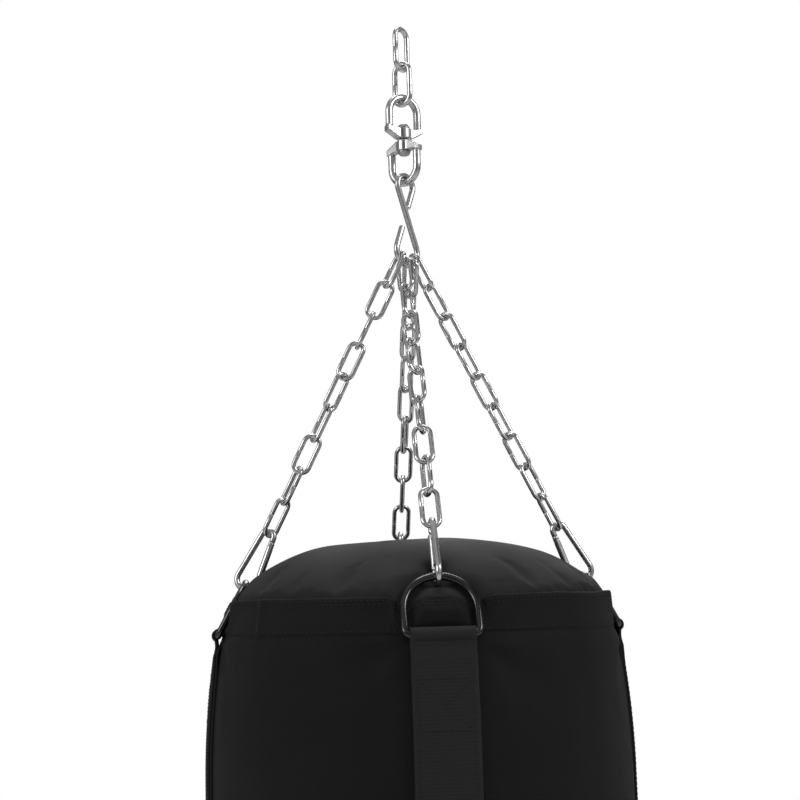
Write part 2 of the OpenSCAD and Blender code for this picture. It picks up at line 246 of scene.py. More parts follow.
def woven_material(name, base, pitch, depth, rough, on_cloth=True):
    """Plain weave: warp and weft threads that pass over each other, with cloudy fading."""
    tree = Tree(name)
    solid = tree.add("ShaderNodeTexCoord", None, (), "Object")
    place = tree.add("ShaderNodeUVMap", {"uv_map": "cloth"}) if on_cloth else solid
    parts = tree.add("ShaderNodeSeparateXYZ", None, [place])
    across = Value(tree, parts.socket.node.outputs[0])
    along = Value(tree, parts.socket.node.outputs[1])
    warp = (across * (TURN / 2 / pitch)).math("SINE")
    weft = (along * (TURN / 2 / pitch)).math("SINE")
    over = (warp * weft).math("ABSOLUTE")
    thread = 1 - (1 - over) * (1 - over)
    cloud = tree.noise(solid, 9, 4.0, 0.55)
    lint = tree.noise(solid, 700, 2.0)
    tone = tree.blend(tree.ramp(cloud, 0.3, 0.72, 0.0, 1.0), scaled(base, 0.78), scaled(base, 1.3))
    tone = tree.blend(thread * 0.35, scaled(base, 0.7), tone)
    height = thread * 0.8 + lint * 0.3 + cloud * 0.4
    normal = tree.bump(height, depth, 0.6)
    return tree.finish(Base_Color=tone, Roughness=tree.ramp(cloud + lint * 0.4, 0.4, 1.0, rough - 0.08, rough + 0.1),
                       Normal=normal, Specular_IOR_Level=0.16, Sheen_Weight=0.02, Sheen_Roughness=0.6)


def plain_material(name, base, rough, scale, depth, uneven=1.0):
    """Foam, filling, thread and floor: a matt body with a fine uneven grain."""
    tree = Tree(name)
    place = tree.add("ShaderNodeTexCoord", None, (), "Object")
    grain = tree.noise(place, scale, 4.0, 0.6)
    dark, light = scaled(base, 1 - 0.12 * uneven), scaled(base, 1 + 0.06 * uneven)
    tone = tree.blend(tree.ramp(grain, 0.3, 0.7, 0.0, 1.0), dark, light)
    normal = tree.bump(grain, depth, 0.5)
    return tree.finish(Base_Color=tone, Roughness=rough, Normal=normal, Specular_IOR_Level=0.2)


MAKERS = {
    "zinc_plate": lambda f: steel_material("zinc_plate", f.zinc, 0.16, 0.36),
    "forged_zinc": lambda f: steel_material("forged_zinc", scaled(f.zinc, 0.96), 0.2, 0.42),
    "dull_steel": lambda f: steel_material("dull_steel", f.dull_steel, 0.3, 0.5),
    "black_enamel": lambda f: enamel_material(f.enamel),
    "cover_cloth": lambda f: woven_material("cover_cloth", f.cover, 0.75 * MM, 0.16 * MM, 0.66),
    "top_cloth": lambda f: woven_material("top_cloth", f.top, 0.75 * MM, 0.16 * MM, 0.66, False),
    "webbing": lambda f: woven_material("webbing", f.webbing, 1.35 * MM, 0.3 * MM, 0.6),
    "thread": lambda f: plain_material("thread", f.thread, 0.5, 2500, 0.1 * MM),
    "foam": lambda f: plain_material("foam", f.foam, 0.9, 500, 0.5 * MM),
    "filling": lambda f: plain_material("filling", f.filling, 0.95, 120, 2 * MM),
    "pale_floor": lambda f: plain_material("pale_floor", f.floor, 0.7, 14, 0.1 * MM, 0.15),
}


def finish_of(name):
    """The named material, made once."""
    return bpy.data.materials.get(name) or MAKERS[name](bpy.context.scene.finishes)


# Pieces


def new_piece(name, bm, finish, slot, body, *nodes):
    """A finished bmesh as a piece that rides on a body and stands for its CAD nodes."""
    mesh = bpy.data.meshes.new(name)
    bm.to_mesh(mesh)
    bm.free()
    return settle(name, mesh, finish, slot, body, *nodes)


def settle(name, mesh, finish, slot, body, *nodes):
    mesh.shade_smooth()
    mesh.materials.clear()
    mesh.materials.append(finish_of(finish))
    piece = bpy.data.objects.new(name, mesh)
    bpy.context.scene.collection.objects.link(piece)
    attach(piece, body)
    if nodes:
        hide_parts(*nodes)
    return piece


def body_of(node):
    return next(body for body, nodes in frame["record"]["behaviour"]["bodies"].items() if node in nodes)


def places(mesh):
    found = np.zeros(len(mesh.vertices) * 3)
    mesh.vertices.foreach_get("co", found)
    return found.reshape(-1, 3)


def place(mesh, points):
    mesh.vertices.foreach_set("co", np.ascontiguousarray(points, dtype=np.float32).ravel())
    mesh.update()


def add_levels(piece, levels):
    smooth = piece.modifiers.new("Smooth", "SUBSURF")
    smooth.levels = levels
    smooth.render_levels = levels


def baked(piece):
    """Applies the piece's modifiers to its mesh."""
    graph = bpy.context.evaluated_depsgraph_get()
    mesh = bpy.data.meshes.new_from_object(piece.evaluated_get(graph))
    old = piece.data
    piece.modifiers.clear()
    piece.data = mesh
    mesh.name = old.name
    bpy.data.meshes.remove(old)
    return piece


def islands(node):
    """The separate solids of one CAD node, as point arrays, from the lowest to the highest."""
    bm = bmesh.new()
    bm.from_mesh(frame["nodes"][node].data)
    bmesh.ops.remove_doubles(bm, verts=bm.verts, dist=1e-6)
    left = set(bm.verts)
    found = []
    while left:
        group = set()
        edge = [left.pop()]
        while edge:
            vert = edge.pop()
            group.add(vert)
            near = [e.other_vert(vert) for e in vert.link_edges]
            edge += [v for v in near if v in left]
            left -= set(near)
        found.append(np.array([v.co for v in group], float))
    bm.free()
    return sorted(found, key=lambda points: points[:, 2].mean())


def spread_axes(points):
    """The directions of a solid's greatest, middle and least spread."""
    centred = points - points.mean(0)
    _, directions = np.linalg.eigh(centred.T @ centred)
    return [Vector(directions[:, k]) for k in (2, 1, 0)]


def extent(points, axis):
    run = points @ np.array(axis)
    return run.min(), run.max()


def matrix_from(x, y, z, origin):
    matrix = Matrix((x, y, z)).transposed().to_4x4()
    matrix.translation = origin
    return matrix


# Bent wire


def round_wire(steps, wire, sides):
    """A round wire bent in its own XY plane from the origin, setting off along +X: (length,) runs straight on and
    (radius, turn in degrees) bends to the left."""
    bm = bmesh.new()
    turn_up = Matrix.Rotation(math.pi / 2, 4, "Y")
    bmesh.ops.create_circle(bm, radius=wire / 2, segments=sides, matrix=turn_up)
    end = bm.edges[:]
    here = Matrix.Identity(4)
    for step in steps:
        if len(step) == 1:
            grown = bmesh.ops.extrude_edge_only(bm, edges=end)["geom"]
            verts = [part for part in grown if isinstance(part, bmesh.types.BMVert)]
            bmesh.ops.translate(bm, verts=verts, vec=here.to_3x3() @ Vector((step[0], 0, 0)))
            end = list({e for v in verts for e in v.link_edges if e.verts[0] in verts and e.verts[1] in verts})
            here = here @ Matrix.Translation((step[0], 0, 0))
        else:
            radius, turn = step[0], math.radians(step[1])
            centre = here @ Vector((0, radius, 0))
            spun = bmesh.ops.spin(bm, geom=end, cent=centre, axis=(0, 0, 1), angle=turn,
                                  steps=max(4, round(step[1] / 11)))
            end = [part for part in spun["geom_last"] if isinstance(part, bmesh.types.BMEdge)]
            pivot = Matrix.Translation((0, radius, 0))
            here = here @ pivot @ Matrix.Rotation(turn, 4, "Z") @ pivot.inverted()
    return bm


def cap_ends(bm, soften):
    """Closes the open ends of a wire and eases their edges."""
    rims = [e for e in bm.edges if e.is_boundary]
    faces = bmesh.ops.holes_fill(bm, edges=rims, sides=0)["faces"]
    rims = list({e for f in faces for e in f.edges})
    bmesh.ops.bevel(bm, geom=rims, offset=soften, segments=2, affect="EDGES", profile=0.5, material=-1)
    bmesh.ops.recalc_face_normals(bm, faces=bm.faces)


def link_bmesh(points, side):
    """One link where its CAD solid lies: bent from a wire, with its butted ends half way down one leg."""
    steel = bpy.context.scene.steel_sizes
    long, wide, thin = spread_axes(points)
    long = long if long.z > 0 else -long
    wide = wide * side * (1 if wide.x + wide.y * 0.1 > 0 else -1)
    thin = wide.cross(long)
    (low, high), (left, right), (back, front) = (extent(points, axis) for axis in (long, wide, thin))
    wire = front - back
    bend = (right - left - wire) / 2
    leg = high - low - wire - 2 * bend
    middle = long * (low + high) / 2 + wide * (left + right) / 2 + thin * (back + front) / 2
    butt = steel.butt_gap / 2
    bm = round_wire([(leg / 2 - butt,), (bend, 180), (leg,), (bend, 180), (leg / 2 - butt,)], wire, steel.sides)
    cap_ends(bm, 0.25 * MM)
    stand = Matrix.Rotation(math.pi / 2, 4, "Z")
    stand.translation = (bend, butt, 0)
    bmesh.ops.transform(bm, matrix=matrix_from(wide, long, thin, middle) @ stand, verts=bm.verts)
    return bm


def links_piece(name, node, slot):
    """All the links of one CAD node as one piece."""
    whole = bmesh.new()
    for index, points in enumerate(islands(node)):
        mesh = bpy.data.meshes.new("link")
        bm = link_bmesh(points, 1 if index % 2 else -1)
        bm.to_mesh(mesh)
        bm.free()
        whole.from_mesh(mesh)
        bpy.data.meshes.remove(mesh)
    return new_piece(name, whole, "zinc_plate", slot, body_of(node), node)


def softened(name, node, finish, slot, grain, passes):
    """A forged or bent part with eased edges: a merged copy of its CAD mesh, remeshed finely and smoothed."""
    bm = bmesh.new()
    bm.from_mesh(frame["nodes"][node].data)
    bmesh.ops.remove_doubles(bm, verts=bm.verts, dist=1e-6)
    piece = new_piece(name, bm, finish, slot, body_of(node), node)
    remesh = piece.modifiers.new("Grain", "REMESH")
    remesh.mode = "VOXEL"
    remesh.voxel_size = grain
    ease = piece.modifiers.new("Ease", "SMOOTH")
    ease.factor = 0.5
    ease.iterations = passes
    baked(piece)
    piece.data.shade_smooth()
    return piece


# What the rings, the webbing and the hooks press into the cloth


def smooth_step(x):
    x = np.clip(x, 0, 1)
    return x * x * (3 - 2 * x)


class Ring:
    """Where one D-ring lies: the middle of its bar, and the ways along the bar, up the ring and out of the bag."""

    def __init__(self, corner):
        self.node = "d_ring_" + corner
        angle = math.radians(CORNERS[corner])
        self.outward = Vector((math.cos(angle), math.sin(angle), 0))
        self.along = Vector((-math.sin(angle), math.cos(angle), 0))
        points = places(frame["nodes"][self.node].data)
        flat = np.stack([points @ np.array(self.outward), points[:, 2]], 1)
        _, directions = np.linalg.eigh((flat - flat.mean(0)).T @ (flat - flat.mean(0)))
        tilt = directions[:, 1] * math.copysign(1, directions[1, 1])
        self.up = (self.outward * tilt[0] + Vector((0, 0, tilt[1]))).normalized()
        self.face = self.along.cross(self.up)
        (left, right), (low, high), (back, front) = (
            extent(points, axis) for axis in (self.along, self.up, self.face))
        self.wire = front - back
        self.width = right - left - self.wire
        self.height = high - low - self.wire
        self.bar = (self.along * (left + right) / 2 + self.up * (low + self.wire / 2)
                    + self.face * (front + back) / 2)
        self.bar_r = self.bar.dot(self.outward)

    def local(self, points):
        """Points as distances along the bar, up the ring and out of its plane."""
        return (points - np.array(self.bar)) @ np.array([self.along, self.up, self.face]).T

    def wire_distance(self, a, u):
        """How far a point in the ring's plane is from the middle of its wire, and whether it is inside the ring."""
        half = self.width / 2
        bend_u = self.height - half
        beyond = np.where(u > bend_u, np.hypot(a, u - bend_u) - half, np.abs(a) - half)
        sunk = -u
        outside = np.maximum(beyond, sunk)
        return np.where(outside < 0, np.minimum(-beyond, u), np.maximum(beyond, 0) + np.maximum(sunk, 0)), outside < 0


class Hook:
    """Where one snap hook hangs: its foot, and the ways across its plane, in towards the bag and up the chain."""

    def __init__(self, corner):
        joint = next(j for j in frame["joints"] if j["name"] == "gate_%s_open" % corner)
        points = places(frame["nodes"]["snap_hook_" + corner].data)
        self.across = -Vector(joint["axis"]).normalized()
        long = spread_axes(points)[0]
        self.up = (long * math.copysign(1, long.z)).normalized()
        self.inward = self.up.cross(self.across).normalized()
        axes = (self.across, self.inward, self.up)
        spans = [extent(points, axis) for axis in axes]
        self.half = (spans[0][1] - spans[0][0]) / 2
        self.deep = spans[1][1]
        self.foot = spans[2][0]
        self.middle = (spans[0][0] + spans[0][1]) / 2

    def local(self, points):
        rows = points @ np.array([self.across, self.inward, self.up]).T
        return rows - np.array([self.middle, self.deep, self.foot])


def pressed(points, clear=0.6 * MM):
    """Cloth points moved out of the way of the rings, of the webbing round their bars and of the snap hooks."""
    points = points.copy()
    webbing = bpy.context.scene.webbing_sizes
    loop = webbing.thick + clear + 0.5 * MM
    for corner in CORNERS:
        ring = Ring(corner)
        a, u, f = ring.local(points).T
        distance, inside = ring.wire_distance(a, u)
        touch = -ring.wire / 2 - clear
        share = smooth_step((distance - ring.wire / 2) / (13 * MM))
        swell = np.where(inside, touch + 8 * MM * share, touch + (f - touch) * share)
        near = (f > swell) & (distance < 16 * MM + inside) & (f < 40 * MM)
        points += np.outer(np.where(near, swell - f, 0), np.array(ring.face))

        a, radial = points @ np.array(ring.along), points @ np.array(ring.outward)
        drop = points[:, 2] - ring.bar.z
        reach = ring.wire / 2 + loop
        over = reach * reach - drop * drop
        limit = ring.bar_r - np.sqrt(np.maximum(over, 0))
        share = 1 - smooth_step((np.abs(a) - webbing.width / 2 - 1 * MM) / (10 * MM))
        push = np.where((over > 0) & (radial > limit), (limit - radial) * share, 0)
        points += np.outer(push, np.array(ring.outward))

        hook = Hook(corner)
        x, y, z = hook.local(points).T
        inner, above = clear - y, z + clear
        share = 1 - smooth_step((np.abs(x) - hook.half) / (12 * MM))
        within = (inner > 0) & (above > 0) & (inner < 60 * MM)
        sideways = within & (inner < above)
        points += np.outer(np.where(sideways, inner * share, 0), np.array(hook.inward))
        points -= np.outer(np.where(within & ~sideways, above * share, 0), np.array(hook.up))
    return points


def edge_r(z):
    """Radius of the bag's cloth at a height: the hem leans in to the rim, and the body swells below it."""
    bag = bpy.context.scene.bag_sizes
    rim, shoulder = BAG_R - bag.rim_inset, BAG_R - bag.shoulder_inset
    depth, hem = RIM_Z - z, RIM_Z - HEM_LOW_Z
    if depth < hem:
        return rim + (shoulder - rim) * depth / hem
    sink = bag.shoulder_drop - hem
    arc = ((BAG_R - shoulder) ** 2 + sink ** 2) / (2 * (BAG_R - shoulder))
    return BAG_R - max(0.0, bag.shoulder_drop - depth) ** 2 / (2 * arc)


def strap_share(points):
    """1 on cloth well away from the straps, 0 under them."""
    share = np.ones(len(points))
    for angle in CORNERS.values():
        turn = math.radians(angle)
        a = points @ np.array((-math.sin(turn), math.cos(turn), 0))
        out = points @ np.array((math.cos(turn), math.sin(turn), 0))
        share = np.where(out > 0, np.minimum(share, smooth_step((np.abs(a) - 27 * MM) / (28 * MM))), share)
    return share


def slack(points):
    """How far the cloth stands out or sinks: broad swells, and creases that fan out below each ring's bar."""
    bag = bpy.context.scene.bag_sizes
    broad = np.array([noise.noise(Vector(p) * 8.5) + 0.45 * noise.noise(Vector((p[0], p[1], p[2] * 0.45)) * 30)
                      for p in points])
    rise = broad * bag.billow
    for corner, angle in CORNERS.items():
        turn = math.radians(angle)
        a = points @ np.array((-math.sin(turn), math.cos(turn), 0))
        out = points @ np.array((math.cos(turn), math.sin(turn), 0))
        for side in (-1, 1):
            x = (a * side - 28 * MM)
            z = HEM_LOW_Z - 8 * MM - points[:, 2]
            far = np.hypot(x, z)
            fan = np.cos(np.arctan2(x, z + 1e-9) * 5 + side * 0.8 + angle)
            fade = np.exp(-far / (52 * MM)) * smooth_step(far / (14 * MM)) * smooth_step(x / (6 * MM) + 0.5)
            rise += np.where(out > 0, fan * fade * bag.crease, 0)
    return rise * (0.04 + 0.96 * strap_share(points))


def outward(points):
    flat = points.copy()
    flat[:, 2] = 0
    return flat / np.maximum(np.linalg.norm(flat, axis=1), 1e-6)[:, None]


def eased(points):
    """Cloth with its swells and creases, pressed by what lies on it."""
    return pressed(points + outward(points) * slack(points)[:, None])


def turned(profile, steps, closed=False):
    """A skin of revolution: the profile's radii and heights, spun once round the bag's line."""
    bm = bmesh.new()
    verts = [bm.verts.new((r, 0, z)) for r, z in profile]
    pairs = list(zip(verts, verts[1:])) + ([(verts[-1], verts[0])] if closed else [])
    edges = [bm.edges.new(pair) for pair in pairs]
    bmesh.ops.spin(bm, geom=verts + edges, cent=(0, 0, 0), axis=(0, 0, 1), angle=TURN, steps=steps, use_merge=True)
    bmesh.ops.remove_doubles(bm, verts=bm.verts, dist=1e-6)
    bmesh.ops.recalc_face_normals(bm, faces=bm.faces)
    return bm


def outward_faces(bm):
    """Turns an open skin's faces away from the bag's line."""
    wrong = [f for f in bm.faces if f.normal.dot(Vector((*f.calc_center_median().xy, 0))) < 0]
    bmesh.ops.reverse_faces(bm, faces=wrong)


def unroll(mesh, radius):
    """A UV map in metres: round the bag, and up it."""
    layer = mesh.uv_layers.new(name="cloth")
    points = places(mesh)
    angle = np.arctan2(points[:, 1], points[:, 0])
    for polygon in mesh.polygons:
        first = angle[polygon.vertices[0]]
        for loop, vert in zip(polygon.loop_indices, polygon.vertices):
            turn = angle[vert]
            turn += TURN * round((first - turn) / TURN)
            layer.data[loop].uv = (turn * radius, points[vert][2])


def arc_points(centre, radius, first, last, count):
    spread = [math.radians(first + (last - first) * k / count) for k in range(count + 1)]
    return [(centre[0] + radius * math.cos(a), centre[1] + radius * math.sin(a)) for a in spread]


def even(first, last, count):
    return [first + (last - first) * k / count for k in range(count + 1)]


def cover_point(angle, z):
    """A point on the finished cover, and the way out of the bag there."""
    r = edge_r(z)
    point = eased(np.array([[r * math.cos(angle), r * math.sin(angle), z]]))[0]
    return Vector(point), Vector((math.cos(angle), math.sin(angle), 0))


# Stitches


def sew(bm, spots, size):
    """Adds a stitch at each spot: a small bead of thread along the seam, half sunk in the cloth."""
    for spot, along, out in spots:
        across = out.cross(along).normalized()
        matrix = matrix_from(along.normalized(), across, out, spot)
        stretch = Matrix.Diagonal((size.stitch / 2, size.thread / 2, size.thread / 2, 1))
        bmesh.ops.create_icosphere(bm, subdivisions=1, radius=1, matrix=matrix @ stretch)


def seam_round(z, size):
    """The stitches of a seam that runs round the bag at one height."""
    radius = edge_r(z)
    count = int(TURN * radius / size.stitch_pitch)
    angles = np.arange(count) * TURN / count
    rows = np.stack([radius * np.cos(angles), radius * np.sin(angles), np.full(count, z)], 1)
    rows = eased(rows)
    rows[:, 2] += hem_sway(rows) * smooth_step((rows[:, 2] - HEM_LOW_Z) / (RIM_Z - HEM_LOW_Z))
    rows += outward(rows) * lap_fold(rows)[:, None]
    spots = []
    for k in range(count):
        along = Vector(rows[(k + 1) % count] - rows[k - 1])
        out = Vector((math.cos(angles[k]), math.sin(angles[k]), 0))
        spots.append((Vector(rows[k]) + out * 0.1 * MM, along, out))
    return spots


def lap_fold(points):
    """How far the hem's lapped end stands out over its beginning."""
    lap = (np.degrees(np.arctan2(points[:, 1], points[:, 0])) + 146) / 5
    return np.where((lap > 0) & (lap < 1), smooth_step(lap * 9) * (1 - smooth_step(lap)), 0) * 1.5 * MM


def hem_sway(points):
    """How far the rim's edge rises and falls round the bag."""
    return np.array([noise.noise(Vector((p[0] * 14, p[1] * 14, 3.1))) for p in points]) * 1.6 * MM


# Operators


class PieceOperator:
    bl_options = {"REGISTER"}

    def execute(self, context):
        self.make(context.scene)
        return {"FINISHED"}


class BAG_OT_links(PieceOperator, bpy.types.Operator):
    """Bends the chain links and the two top links from wire"""

    bl_idname = "bag.links"
    bl_label = "Links"

    def make(self, scene):
        for corner in CORNERS:
            for part in CHAIN_PARTS:
                links_piece("links_%s_%s" % (corner, part), "chain_%s_%s" % (corner, part), "chain")
        links_piece("top_link", "hanging_link", "top_links")
        links_piece("lower_link", "swivel_link", "top_links")


class BAG_OT_forgings(PieceOperator, bpy.types.Operator):
    """Eases the swivel's eyes and pin, the S-hook, the snap hooks and their gates"""

    bl_idname = "bag.forgings"
    bl_label = "Forgings and hooks"

    def make(self, scene):
        grain = scene.steel_sizes.grain
        for node in ("swivel_upper_eye", "swivel_lower_eye"):
            softened(node + "_forging", node, "forged_zinc", "swivel_eyes", grain, 14)
        softened("swivel_pin_turned", "swivel_pin", "dull_steel", "pins", grain, 6)
        softened("s_hook_bent", "s_hook", "zinc_plate", "s_hook", grain, 8)
        for corner in CORNERS:
            softened("snap_hook_%s_bent" % corner, "snap_hook_" + corner, "zinc_plate", "snap_hooks", grain, 5)
            softened("gate_%s_tube" % corner, "gate_" + corner, "zinc_plate", "snap_hooks", grain * 0.8, 2)


class BAG_OT_rings(PieceOperator, bpy.types.Operator):
    """Bends the four D-rings"""

    bl_idname = "bag.rings"
    bl_label = "D-rings"

    def make(self, scene):
        corner_r = scene.steel_sizes.ring_corner
        for corner in CORNERS:
            ring = Ring(corner)
            bend = ring.width / 2
            half_bar = bend - corner_r
            side = ring.height - bend - corner_r
            bm = round_wire([(half_bar,), (corner_r, 90), (side,), (bend, 180), (side,), (corner_r, 90), (half_bar,)],
                            ring.wire, 24)
            bmesh.ops.remove_doubles(bm, verts=bm.verts, dist=0.05 * MM)
            bmesh.ops.recalc_face_normals(bm, faces=bm.faces)
            bmesh.ops.transform(bm, matrix=matrix_from(ring.along, ring.up, ring.face, ring.bar), verts=bm.verts)
            new_piece("ring_" + corner, bm, "black_enamel", "ring_enamel", "bag", ring.node)


class BAG_OT_top_pad(PieceOperator, bpy.types.Operator):
    """Stuffs the padded top and presses the rings and the hooks into it"""

    bl_idname = "bag.top_pad"
    bl_label = "Padded top"

    def make(self, scene):
        bag = scene.bag_sizes
        rim = BAG_R - bag.rim_inset - bag.hem_thick - 1 * MM
        rise = DOME_TOP_Z - RIM_Z - 1.5 * MM
        curve = [(rim * k, RIM_Z + rise * (1 - k ** bag.dome_power)) for k in even(0, 1, 40)]
        low = HEM_LOW_Z + 4 * MM
        profile = curve + [(rim, z) for z in even(RIM_Z, low, 5)[1:]] + [(rim * k, low) for k in even(1, 0, 24)[1:]]
        pad = new_piece("padded_top", turned(profile, 160), "top_cloth", "top_fabric", "bag", "top_cap")
        remesh = pad.modifiers.new("Cloth grid", "REMESH")
        remesh.mode = "VOXEL"
        remesh.voxel_size = 4.5 * MM
        baked(pad)
        self.stuff(scene, pad)
        pad.data.shade_smooth()
        points = places(pad.data)
        lift = points[:, 2] > RIM_Z - 2 * MM
        rumple = np.array([noise.noise(Vector((p[0] * 1.2, p[1] * 0.9, p[2])) * 19) for p in points]) * 2.2 * MM
        points[:, 2] += np.where(lift, rumple, 0)
        place(pad.data, pressed(points))
        add_levels(pad, 1)

    def stuff(self, scene, pad):
        """Blows the pad up a little against its pinned lower edge, with cloth cut slightly too large."""
        before = places(pad.data)
        held = pad.vertex_groups.new(name="sewn")
        held.add([k for k, p in enumerate(before) if p[2] < RIM_Z + 1 * MM], 1.0, "REPLACE")
        cloth = pad.modifiers.new("Cloth", "CLOTH")
        rules = cloth.settings
        rules.vertex_group_mass = "sewn"
        rules.use_pressure = True
        rules.uniform_pressure_force = 4
        rules.shrink_min = -0.025
        rules.bending_stiffness = 0.3
        rules.effector_weights.gravity = 0
        cloth.point_cache.frame_start = 1
        cloth.point_cache.frame_end = 20
        for step in range(1, 21):
            scene.frame_set(step)
        baked(pad)
        scene.frame_set(1)
        after = places(pad.data)
        move = after - before
        size = np.linalg.norm(move, axis=1)
        cap = 3 * MM
        place(pad.data, before + move * np.minimum(1, cap / np.maximum(size, 1e-9))[:, None])


class BAG_OT_hem(PieceOperator, bpy.types.Operator):
    """Folds the band round the rim and sews it"""

    bl_idname = "bag.hem"
    bl_label = "Hem"

    def make(self, scene):
        bag = scene.bag_sizes
        half = bag.hem_thick / 2
        top = RIM_Z - half
        low = HEM_LOW_Z + half
        outer = [(edge_r(z), z) for z in even(low, top, 14)]
        over = arc_points((edge_r(top) - half, top), half, 0, 180, 6)[1:]
        inner = [(edge_r(z) - bag.hem_thick, z) for z in even(top, low, 8)[1:]]
        under = arc_points((edge_r(low) - half, low), half, 180, 360, 6)[1:-1]
        band = turned(outer + over + inner + under, 420, closed=True)
        piece = new_piece("hem", band, "cover_cloth", "cover_fabric", "bag", "top_hem")
        points = eased(places(piece.data))
        share = smooth_step((points[:, 2] - HEM_LOW_Z) / (RIM_Z - HEM_LOW_Z))
        points[:, 2] += hem_sway(points) * share
        outside = np.hypot(points[:, 0], points[:, 1]) > BAG_R - bag.rim_inset - half
        place(piece.data, points + outward(points) * (lap_fold(points) * outside)[:, None])
        unroll(piece.data, BAG_R)
        rows = bmesh.new()
        for z in (RIM_Z - 2.6 * MM, RIM_Z - 5.2 * MM, HEM_LOW_Z + 3.2 * MM):
            sew(rows, seam_round(z, bag), bag)
        new_piece("hem_stitches", rows, "thread", "cover_fabric", "bag")


class BAG_OT_cover(PieceOperator, bpy.types.Operator):
    """Sews the cover's tube and eases it under the straps"""

    bl_idname = "bag.cover"
    bl_label = "Cover"

    def make(self, scene):
        bag = scene.bag_sizes
        top = HEM_LOW_Z + 3 * MM
        fine_low = HEM_LOW_Z - 130 * MM
        low = BAG_LOW_Z + bag.piping * 0.9
        heights = even(top, fine_low, 42) + even(fine_low, low, 76)[1:]
        tuck = 1.6 * MM
        profile = [(edge_r(z) - tuck * max(0.0, 1 - (HEM_LOW_Z + 3 * MM - z) / (5 * MM)), z) for z in heights]
        tube = turned(profile, 300)
        outward_faces(tube)
        piece = new_piece("cover", tube, "cover_cloth", "cover_fabric", "bag", "side_cover")
        place(piece.data, eased(places(piece.data)))
        unroll(piece.data, BAG_R)
        wall = piece.modifiers.new("Wall", "SOLIDIFY")
        wall.thickness = bag.cover_thick
        wall.offset = -1
        seam = bmesh.new()
        spots = []
        for side in (-1, 1):
            angle = math.radians(135) + side * 4 * MM / BAG_R
            for z in np.arange(HEM_LOW_Z - 6 * MM, low + 4 * MM, -bag.stitch_pitch):
                point, out = cover_point(angle, z)
                spots.append((point, Vector((0, 0, 1)), out))
        sew(seam, spots, bag)
        new_piece("side_seam_stitches", seam, "thread", "cover_fabric", "bag")


